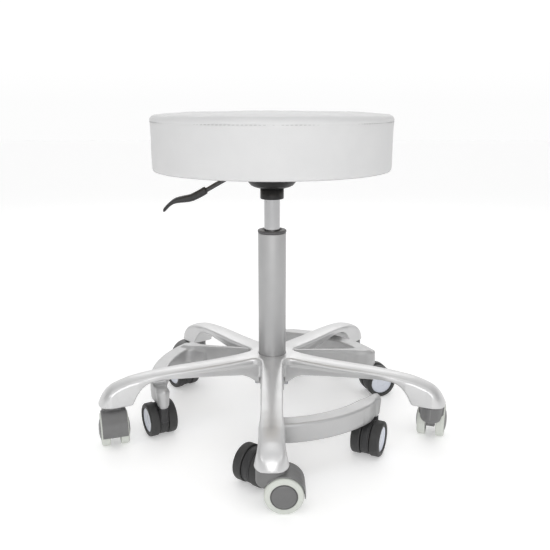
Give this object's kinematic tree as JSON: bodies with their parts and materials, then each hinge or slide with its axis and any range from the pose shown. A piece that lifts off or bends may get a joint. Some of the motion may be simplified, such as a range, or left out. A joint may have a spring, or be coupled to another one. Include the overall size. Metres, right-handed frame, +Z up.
{
  "type": "dental stool",
  "caption": "Round height-adjustable dental stool: padded seat on a gas lift with release lever, polished star base and a lower foot frame, both on swivelling twin-wheel casters.",
  "frame": {"origin": "on the column's axis, at floor level", "axes": "+Z up along the column; -Y towards the star's front arm; the release lever points along -X"},
  "size_m": [0.6227, 0.6074, 0.563],
  "materials": {
    "vinyl": "smooth upholstery vinyl, satin",
    "foam": "open-cell foam",
    "plywood": "birch plywood",
    "black_steel": "black powder coat",
    "zinc_screws": "zinc-plated",
    "black_plastic": "moulded, fine texture",
    "chrome_tube": "ground and chromed",
    "steel": "turned steel",
    "black_rod": "black semi-gloss",
    "grip_plastic": "moulded, soft sheen",
    "column_silver": "satin silver-grey coat",
    "bush_plastic": "acetal",
    "polished_aluminium": "polished die casting",
    "satin_aluminium": "satin die casting",
    "grey_hood": "moulded nylon",
    "grey_hub": "moulded nylon, domed",
    "grey_tyre": "soft light grey tread",
    "black_fork": "moulded nylon",
    "black_tyre": "soft black tread",
    "pale_hub": "pale blue-grey moulded insert"
  },
  "bodies": {
    "base": {"star_base": "polished_aluminium", "column_tube": "column_silver", "column_bush": "bush_plastic", "thrust_bearing": "steel", "foot_frame": "satin_aluminium", "foot_frame_screws": "zinc_screws", "star_caster_stems": "steel", "foot_caster_stems": "steel"},
    "spindle": {"piston_rod": "chrome_tube", "rod_clip": "steel"},
    "seat": {"seat_cover": "vinyl", "seat_foam": "foam", "seat_board": "plywood", "seat_plate": "black_steel", "seat_plate_screws": "zinc_screws", "seat_dish": "black_plastic", "socket_collar": "black_plastic", "gas_cylinder": "chrome_tube", "lever_pin": "steel"},
    "lever": {"lever_rod": "black_rod", "lever_grip": "grip_plastic"},
    "button": {"release_button": "steel"},
    "front_star_fork": {"star_caster_front_housing": "grey_hood"},
    "front_star_wheelset": {"star_caster_front_axle": "steel", "star_caster_front_wheels": "grey_hub", "star_caster_front_tyres": "grey_tyre"},
    "right_star_fork": {"star_caster_right_housing": "grey_hood"},
    "right_star_wheelset": {"star_caster_right_axle": "steel", "star_caster_right_wheels": "grey_hub", "star_caster_right_tyres": "grey_tyre"},
    "back_right_star_fork": {"star_caster_back_right_housing": "grey_hood"},
    "back_right_star_wheelset": {"star_caster_back_right_axle": "steel", "star_caster_back_right_wheels": "grey_hub", "star_caster_back_right_tyres": "grey_tyre"},
    "back_left_star_fork": {"star_caster_back_left_housing": "grey_hood"},
    "back_left_star_wheelset": {"star_caster_back_left_axle": "steel", "star_caster_back_left_wheels": "grey_hub", "star_caster_back_left_tyres": "grey_tyre"},
    "left_star_fork": {"star_caster_left_housing": "grey_hood"},
    "left_star_wheelset": {"star_caster_left_axle": "steel", "star_caster_left_wheels": "grey_hub", "star_caster_left_tyres": "grey_tyre"},
    "foot_fork_1": {"foot_caster_1_housing": "black_fork"},
    "foot_wheelset_1": {"foot_caster_1_wheels": "black_tyre", "foot_caster_1_hubs": "pale_hub"},
    "foot_fork_2": {"foot_caster_2_housing": "black_fork"},
    "foot_wheelset_2": {"foot_caster_2_wheels": "black_tyre", "foot_caster_2_hubs": "pale_hub"},
    "foot_fork_3": {"foot_caster_3_housing": "black_fork"},
    "foot_wheelset_3": {"foot_caster_3_wheels": "black_tyre", "foot_caster_3_hubs": "pale_hub"},
    "foot_fork_4": {"foot_caster_4_housing": "black_fork"},
    "foot_wheelset_4": {"foot_caster_4_wheels": "black_tyre", "foot_caster_4_hubs": "pale_hub"},
    "foot_fork_5": {"foot_caster_5_housing": "black_fork"},
    "foot_wheelset_5": {"foot_caster_5_wheels": "black_tyre", "foot_caster_5_hubs": "pale_hub"},
    "foot_fork_6": {"foot_caster_6_housing": "black_fork"},
    "foot_wheelset_6": {"foot_caster_6_wheels": "black_tyre", "foot_caster_6_hubs": "pale_hub"}
  },
  "joints": [
    {"name": "seat_swivel", "type": "hinge", "parent": "base", "child": "spindle", "pos_m": [0, 0, 0.06], "axis": [0, 0, 1], "continuous": true},
    {"name": "seat_lift", "type": "slide", "parent": "spindle", "child": "seat", "axis": [0, 0, 1], "range_m": [-0.05, 0.08]},
    {"name": "lever_lift", "type": "hinge", "parent": "seat", "child": "lever", "pos_m": [-0.03, 0, 0.457], "axis": [0, 1, 0], "range_deg": [0, 6], "stiffness_Nm_per_rad": 2, "springref_deg": -5.73},
    {"name": "button_press", "type": "slide", "parent": "seat", "child": "button", "axis": [0, 0, 1], "range_m": [-0.0035, 0]},
    {"name": "front_star_swivel", "type": "hinge", "parent": "base", "child": "front_star_fork", "pos_m": [0, -0.295, 0.06], "axis": [0, 0, 1], "range_deg": [-150, 50]},
    {"name": "front_star_roll", "type": "hinge", "parent": "front_star_fork", "child": "front_star_wheelset", "pos_m": [0.018, -0.295, 0.0295], "axis": [0, 1, 0], "continuous": true},
    {"name": "right_star_swivel", "type": "hinge", "parent": "base", "child": "right_star_fork", "pos_m": [0.28056, -0.09116, 0.06], "axis": [0, 0, 1], "continuous": true},
    {"name": "right_star_roll", "type": "hinge", "parent": "right_star_fork", "child": "right_star_wheelset", "pos_m": [0.28612, -0.07404, 0.0295], "axis": [-0.9511, 0.309, 0], "continuous": true},
    {"name": "back_right_star_swivel", "type": "hinge", "parent": "base", "child": "back_right_star_fork", "pos_m": [0.1734, 0.23866, 0.06], "axis": [0, 0, 1], "continuous": true},
    {"name": "back_right_star_roll", "type": "hinge", "parent": "back_right_star_fork", "child": "back_right_star_wheelset", "pos_m": [0.15883, 0.24924, 0.0295], "axis": [-0.5878, -0.809, 0], "continuous": true},
    {"name": "back_left_star_swivel", "type": "hinge", "parent": "base", "child": "back_left_star_fork", "pos_m": [-0.1734, 0.23866, 0.06], "axis": [0, 0, 1], "continuous": true},
    {"name": "back_left_star_roll", "type": "hinge", "parent": "back_left_star_fork", "child": "back_left_star_wheelset", "pos_m": [-0.18796, 0.22808, 0.0295], "axis": [0.5878, -0.809, 0], "continuous": true},
    {"name": "left_star_swivel", "type": "hinge", "parent": "base", "child": "left_star_fork", "pos_m": [-0.28056, -0.09116, 0.06], "axis": [0, 0, 1], "range_deg": [-170, 48]},
    {"name": "left_star_roll", "type": "hinge", "parent": "left_star_fork", "child": "left_star_wheelset", "pos_m": [-0.275, -0.10828, 0.0295], "axis": [0.9511, 0.309, 0], "continuous": true},
    {"name": "foot_swivel_1", "type": "hinge", "parent": "base", "child": "foot_fork_1", "pos_m": [0.19074, 0.09139, 0.055], "axis": [0, 0, 1], "continuous": true},
    {"name": "foot_roll_1", "type": "hinge", "parent": "foot_fork_1", "child": "foot_wheelset_1", "pos_m": [0.21369, 0.0984, 0.03], "axis": [-0.2924, 0.9563, 0], "continuous": true},
    {"name": "foot_swivel_2", "type": "hinge", "parent": "base", "child": "foot_fork_2", "pos_m": [0.01623, 0.21088, 0.055], "axis": [0, 0, 1], "continuous": true},
    {"name": "foot_roll_2", "type": "hinge", "parent": "foot_fork_2", "child": "foot_wheelset_2", "pos_m": [0.04013, 0.21297, 0.03], "axis": [-0.0872, 0.9962, 0], "continuous": true},
    {"name": "foot_swivel_3", "type": "hinge", "parent": "base", "child": "foot_fork_3", "pos_m": [-0.17451, 0.11949, 0.055], "axis": [0, 0, 1], "continuous": true},
    {"name": "foot_roll_3", "type": "hinge", "parent": "foot_fork_3", "child": "foot_wheelset_3", "pos_m": [-0.18929, 0.1384, 0.03], "axis": [-0.788, -0.6157, 0], "continuous": true},
    {"name": "foot_swivel_4", "type": "hinge", "parent": "base", "child": "foot_fork_4", "pos_m": [-0.19074, -0.09139, 0.055], "axis": [0, 0, 1], "range_deg": [-225, 8]},
    {"name": "foot_roll_4", "type": "hinge", "parent": "foot_fork_4", "child": "foot_wheelset_4", "pos_m": [-0.20274, -0.0706, 0.03], "axis": [-0.866, -0.5, 0], "continuous": true},
    {"name": "foot_swivel_5", "type": "hinge", "parent": "base", "child": "foot_fork_5", "pos_m": [-0.01107, -0.21121, 0.055], "axis": [0, 0, 1], "range_deg": [-210, 0]},
    {"name": "foot_roll_5", "type": "hinge", "parent": "foot_fork_5", "child": "foot_wheelset_5", "pos_m": [-0.02518, -0.23063, 0.03], "axis": [0.809, -0.5878, 0], "continuous": true},
    {"name": "foot_swivel_6", "type": "hinge", "parent": "base", "child": "foot_fork_6", "pos_m": [0.17451, -0.11949, 0.055], "axis": [0, 0, 1], "range_deg": [-175, 75]},
    {"name": "foot_roll_6", "type": "hinge", "parent": "foot_fork_6", "child": "foot_wheelset_6", "pos_m": [0.16437, -0.14124, 0.03], "axis": [0.9063, -0.4226, 0], "continuous": true}
  ],
  "couplings": [
    {"joint": "button_press", "follows": "lever_lift", "m_per_rad": -0.0325}
  ]
}
